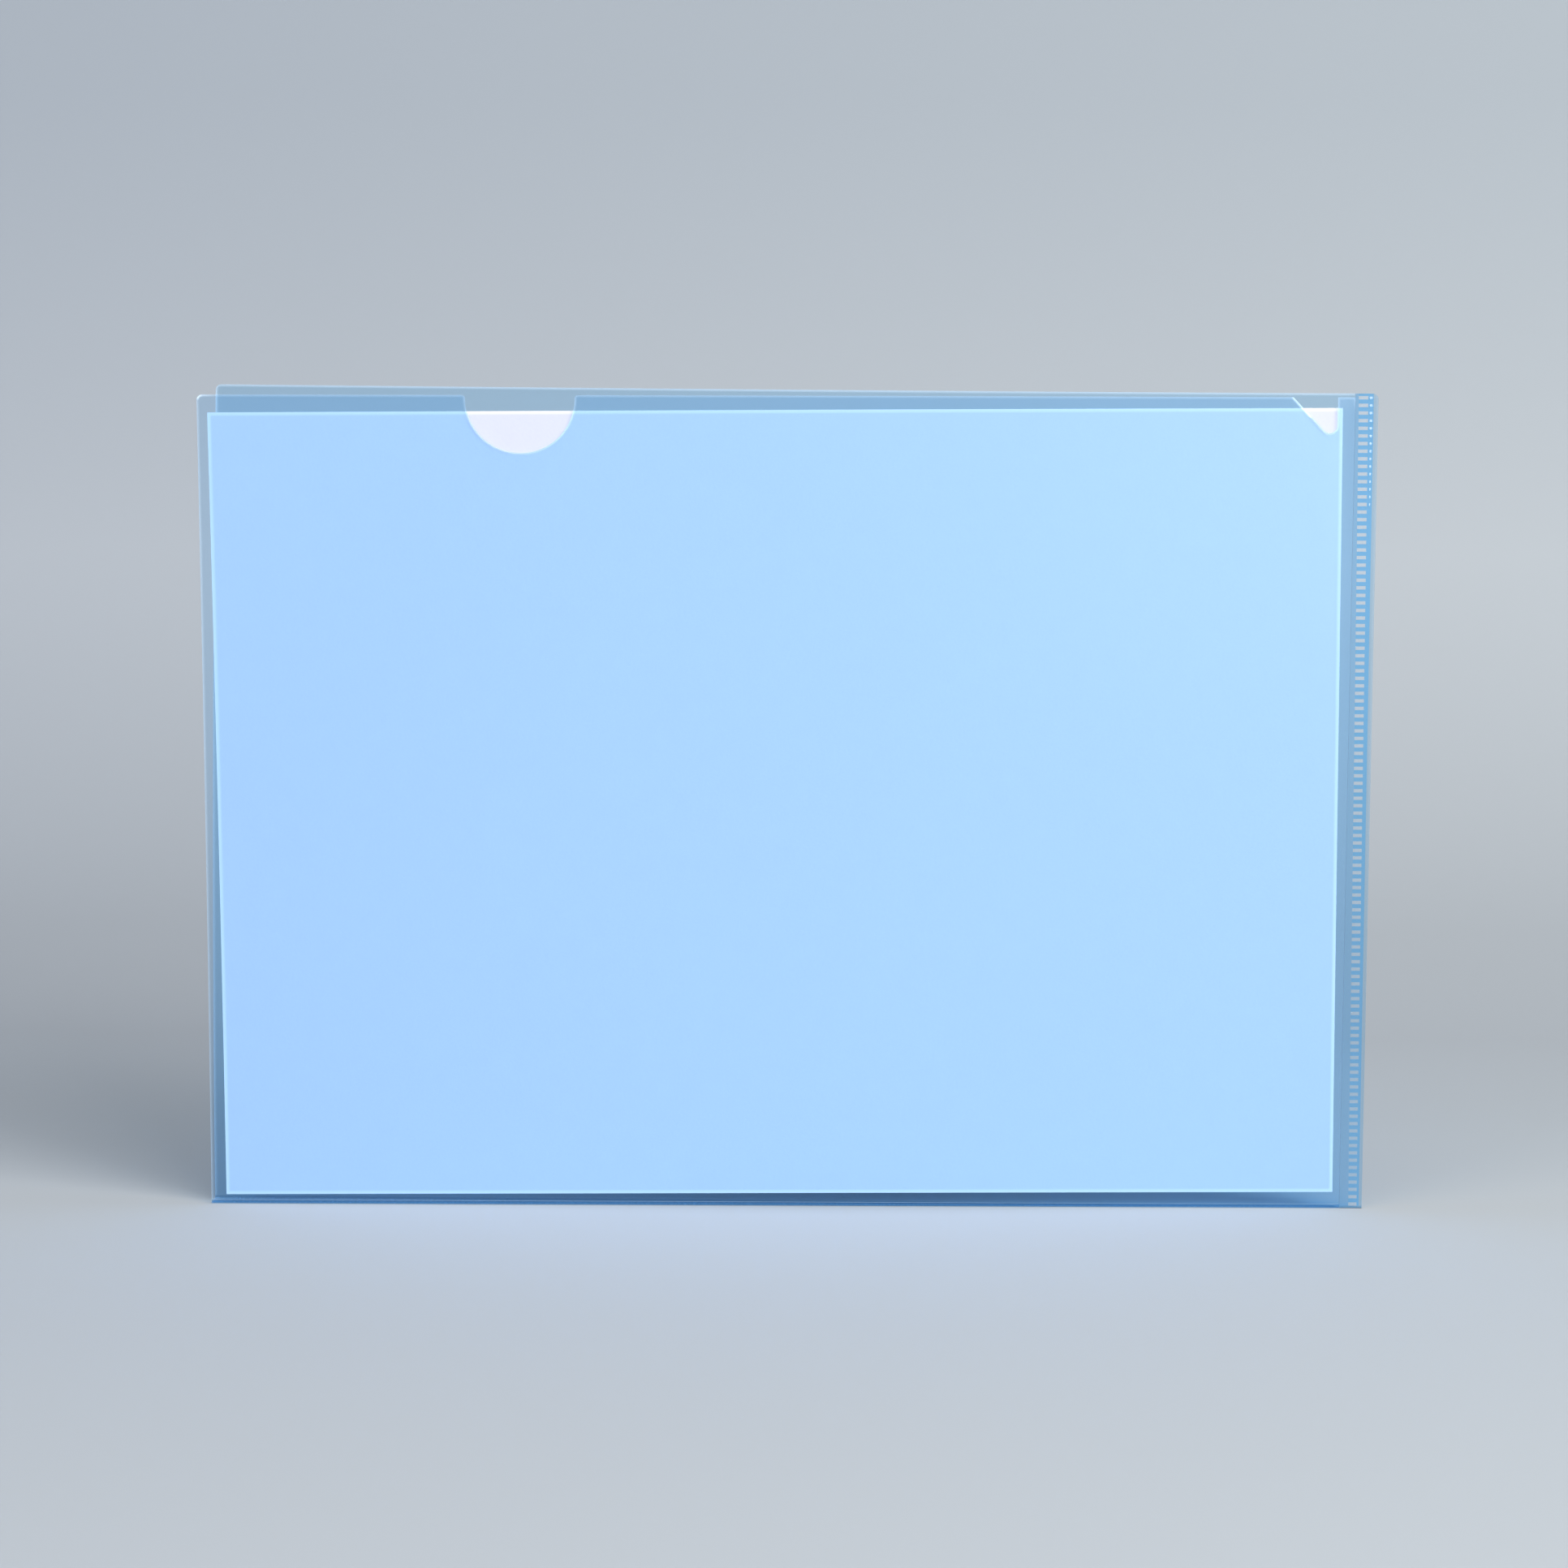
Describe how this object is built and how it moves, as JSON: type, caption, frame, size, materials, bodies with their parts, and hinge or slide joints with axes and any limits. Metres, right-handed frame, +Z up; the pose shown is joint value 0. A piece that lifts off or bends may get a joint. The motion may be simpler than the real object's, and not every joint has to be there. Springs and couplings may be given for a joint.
{
  "type": "l-shaped folder",
  "caption": "Clear blue plastic document folder, folded along the bottom and welded along one side, open at the top and the other side, with a sheet of paper in it.",
  "frame": {"origin": "on the table, under the middle of the fold", "axes": "+X along the fold towards the weld, +Y from the front leaf to the back leaf, +Z up to the open top"},
  "size_m": [0.3088, 0.0368, 0.2182],
  "materials": {
    "clear_film_back": "satin",
    "clear_film_fold": "satin",
    "welded_film": "satin",
    "clear_film_front": "satin",
    "clear_film_flap": "satin",
    "white_paper": "matte"
  },
  "bodies": {
    "folder": {"back_leaf": "clear_film_back", "bottom_fold": "clear_film_fold", "weld_seam": "welded_film", "front_leaf": "clear_film_front"},
    "flap": {"front_flap": "clear_film_flap"},
    "sheet": {"insert_sheet": "white_paper"}
  },
  "joints": [
    {"name": "front_flap_open", "type": "hinge", "parent": "folder", "child": "flap", "pos_m": [-0.15443, -0.0035, 0.006], "axis": [0.8246, 0.008, 0.5656], "range_deg": [0, 70], "stiffness_Nm_per_rad": 0.01},
    {"name": "sheet_slide", "type": "slide", "parent": "folder", "child": "sheet", "axis": [0, 0, 1], "range_m": [0, 0.2]}
  ]
}
